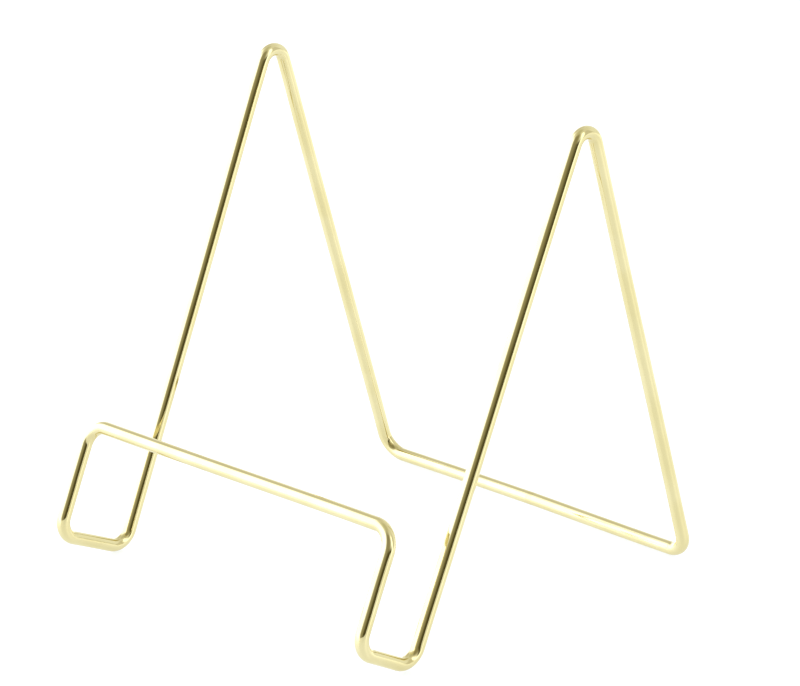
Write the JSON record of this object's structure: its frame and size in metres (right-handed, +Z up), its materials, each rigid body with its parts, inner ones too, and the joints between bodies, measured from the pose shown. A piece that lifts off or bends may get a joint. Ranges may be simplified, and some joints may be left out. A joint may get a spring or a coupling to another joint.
{
  "type": "photo album stand",
  "caption": "Free-standing easel of bent round brass-plated wire that holds a photo album or book leaning back, with a short ledge and lip on each side and a bar across the front.",
  "frame": {"origin": "middle of the footprint, on the table that the stand rests on", "axes": "+Z up, -Y the front that the album faces, +X to the right of someone behind the front bar looking along +Y"},
  "size_m": [0.129, 0.1396, 0.1429],
  "materials": {
    "plated_wire": "pale brass plating over drawn wire, polished bright, with faint lengthwise drawing lines",
    "dressed_weld": "same plating over a dressed butt weld, slightly duller and scratched across by the dressing"
  },
  "bodies": {
    "root": {"formed_wire": "plated_wire", "butt_weld": "dressed_weld"}
  },
  "joints": []
}
